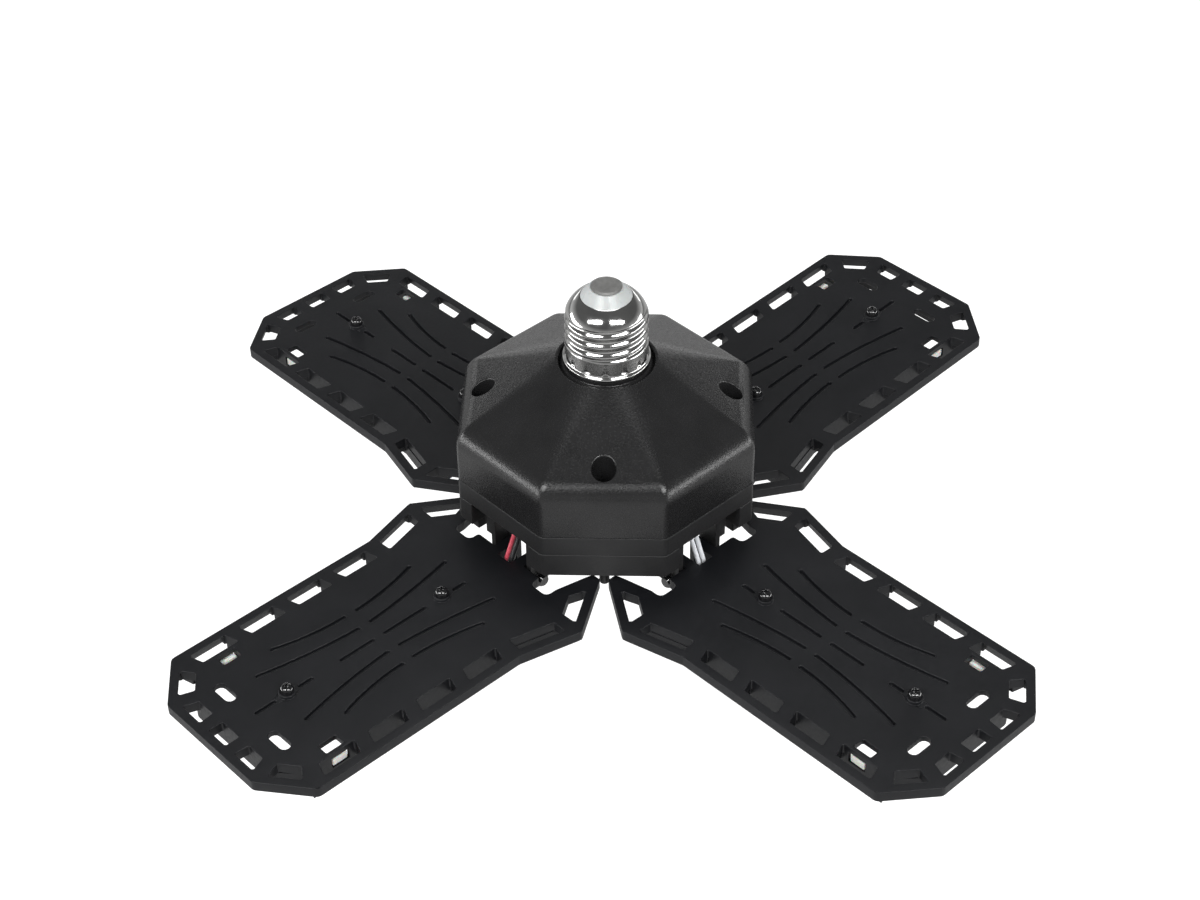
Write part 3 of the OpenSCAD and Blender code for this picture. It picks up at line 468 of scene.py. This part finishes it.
# How far each wing stands from level at rest, in degrees.
TILTS = {"front_left": 0, "front_right": 1, "back_right": 3.5, "back_left": -1}
LEAD_R = 0.75
LEAD_OFF = 1.05
LEAD_AROUND = 12
ROUTE_STEPS = 4
WHITE_PAIRS = ("front_right", "back_left")


def tilted(point, degrees):
    """A point of a level wing, turned about its hinge."""
    turn = Matrix.Rotation(math.radians(degrees), 2)
    return HINGE + turn @ (Vector(point) - HINGE)


def smooth_route(points, steps):
    """A Catmull-Rom curve through the points."""
    ends = [2 * points[0] - points[1]] + points + [2 * points[-1] - points[-2]]
    curve = []
    for a, b, c, d in zip(ends, ends[1:], ends[2:], ends[3:]):
        for k in range(steps):
            t = k / steps
            curve.append(
                (2 * b + (c - a) * t + (2 * a - 5 * b + 4 * c - d) * t**2
                 + (3 * b - a - 3 * c + d) * t**3) / 2
            )
    return curve + [points[-1]]


def lead_points(route, side, turn):
    """Rings of points round a route that runs beside the wing's middle plane."""
    points = []
    for i, place in enumerate(route):
        ahead = (route[min(i + 1, len(route) - 1)] - route[max(i - 1, 0)]).normalized()
        across = Vector((ahead.y, -ahead.x))
        for k in range(LEAD_AROUND):
            a = math.tau * k / LEAD_AROUND
            flat_place = place + across * LEAD_R * math.cos(a)
            local = Vector((flat_place.x, side + LEAD_R * math.sin(a), flat_place.y))
            points.append(turn @ local * MM)
    return points


def add_leads(wing):
    """A wing's two leads, from the driver board past the hinge to the LED board."""
    turn = Matrix.Rotation(math.radians(WINGS[wing]), 3, "Z")
    flat = [Vector(p) for p in HUB_ROUTE] + [tilted(p, TILTS[wing]) for p in WING_ROUTE]
    route = smooth_route(flat, ROUTE_STEPS)
    points, faces, slots = [], [], []
    for number, side in enumerate((-LEAD_OFF, LEAD_OFF)):
        first = len(points)
        last = first + (len(route) - 1) * LEAD_AROUND
        points += lead_points(route, side, turn)
        tube = ring_faces(len(route), LEAD_AROUND, first)
        tube.append([first + k for k in reversed(range(LEAD_AROUND))])
        tube.append([last + k for k in range(LEAD_AROUND)])
        faces += tube
        slots += [number] * len(tube)
    colours = ("lead_red", "lead_black")
    if wing in WHITE_PAIRS:
        colours = ("lead_white", "lead_white")
    leads = add_mesh(f"leads_{wing}", points, faces, [MATERIALS[c] for c in colours], slots)
    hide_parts(f"hub_leads_{wing}", f"wing_leads_{wing}")
    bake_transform(leads)


# ---------------------------------------------------------------- stage
FLOOR_HEIGHT = -0.19  # just below the wings when they are folded down
FLOOR_REACH = 6
FLOOR_GREY = 0.5
FLOOR_SEEN, FLOOR_MIRRORED = 0.75, 0.1

# The background's strength: as seen, as metal mirrors it at the horizon and overhead, and as
# light. The paper at the horizon ends where the sine of the elevation is PAPER_TOP.
PAPER_SEEN, PAPER_MIRRORED, ROOM_MIRRORED, ROOM_LIGHT = 1.0, 0.8, 0.16, 0.24
PAPER_TOP = 0.35

LAMP_TARGET = (0, 0, -0.05)
# Each softbox: its place, its width and height, its watts, and the point that it faces.
SOFTBOXES = {
    "overhead": ((0, 0.42, 1.3), (0.6, 0.5), 4.2, LAMP_TARGET),
    "front_left": ((-0.62, -0.74, 0.7), (0.85, 0.2), 11, (-0.62, 0, -0.05)),
    "front_right": ((0.62, -0.74, 0.7), (0.85, 0.2), 10, (0.62, 0, -0.05)),
    "side_left": ((-1.2, -0.05, 0.03), (1.1, 0.15), 5.5, LAMP_TARGET),
    "side_right": ((1.2, -0.05, 0.03), (1.1, 0.15), 5, LAMP_TARGET),
    "back_strip": ((0, 1.3, 0.12), (2.2, 0.14), 2, LAMP_TARGET),
}


def strength_by_ray(tree, seen, mirrored, unseen):
    """The background's strength where it is seen, where a surface mirrors it, and as light."""
    path = tree.nodes.new("ShaderNodeLightPath")
    value = unseen
    rays = {"Is Glossy Ray": mirrored, "Is Transmission Ray": seen, "Is Camera Ray": seen}
    for ray, strength in rays.items():
        span = tree.nodes.new("ShaderNodeMapRange")
        for socket, end in (("To Min", value), ("To Max", strength)):
            if isinstance(end, float):
                span.inputs[socket].default_value = end
            else:
                tree.links.new(end, span.inputs[socket])
        tree.links.new(path.outputs[ray], span.inputs["Value"])
        value = span.outputs["Result"]
    return value


def add_world():
    """White paper round the horizon, which metal mirrors, under a dim room."""
    world = bpy.data.worlds.new("world")
    bpy.context.scene.world = world
    world.use_nodes = True
    tree = world.node_tree
    back = tree.nodes["Background"]
    back.inputs["Color"].default_value = (1, 1, 1, 1)
    way = tree.nodes.new("ShaderNodeTexCoord")
    axes = tree.nodes.new("ShaderNodeSeparateXYZ")
    paper = tree.nodes.new("ShaderNodeMapRange")
    paper.inputs["From Max"].default_value = PAPER_TOP
    paper.inputs["To Min"].default_value = PAPER_MIRRORED
    paper.inputs["To Max"].default_value = ROOM_MIRRORED
    tree.links.new(way.outputs["Generated"], axes.inputs["Vector"])
    tree.links.new(axes.outputs["Z"], paper.inputs["Value"])
    strength = strength_by_ray(tree, PAPER_SEEN, paper.outputs["Result"], ROOM_LIGHT)
    tree.links.new(strength, back.inputs["Strength"])


def add_floor():
    """A plain pale floor, white where it is seen."""
    signs = ((-1, -1), (1, -1), (1, 1), (-1, 1))
    mesh = bpy.data.meshes.new("floor")
    mesh.from_pydata([(FLOOR_REACH * x, FLOOR_REACH * y, 0) for x, y in signs], [], [(0, 1, 2, 3)])
    floor = bpy.data.objects.new("floor", mesh)
    floor.location.z = FLOOR_HEIGHT
    bpy.context.scene.collection.objects.link(floor)
    paper = bpy.data.materials.new("floor")
    paper.use_nodes = True
    shader = paper.node_tree.nodes["Principled BSDF"]
    shader.inputs["Base Color"].default_value = (FLOOR_GREY, FLOOR_GREY, FLOOR_GREY, 1)
    shader.inputs["Roughness"].default_value = 0.9
    shader.inputs["Specular IOR Level"].default_value = 0.0
    shader.inputs["Emission Color"].default_value = (1, 1, 1, 1)
    strength = strength_by_ray(paper.node_tree, FLOOR_SEEN, FLOOR_MIRRORED, 0.0)
    paper.node_tree.links.new(strength, shader.inputs["Emission Strength"])
    mesh.materials.append(paper)


def add_softbox(name, place, size, watts, target):
    data = bpy.data.lights.new(name, "AREA")
    data.shape = "RECTANGLE"
    data.size, data.size_y = size
    data.energy = watts
    lamp = bpy.data.objects.new(name, data)
    lamp.location = place
    lamp.rotation_mode = "QUATERNION"
    lamp.rotation_quaternion = (Vector(target) - Vector(place)).to_track_quat("-Z", "Y")
    bpy.context.scene.collection.objects.link(lamp)


# ---------------------------------------------------------------- making
add_camera()
dress_frame()
add_cap()
for wing in WINGS:
    add_leads(wing)
add_world()
add_floor()
for name, softbox in SOFTBOXES.items():
    add_softbox(name, *softbox)
bpy.context.scene.view_settings.view_transform = "Standard"
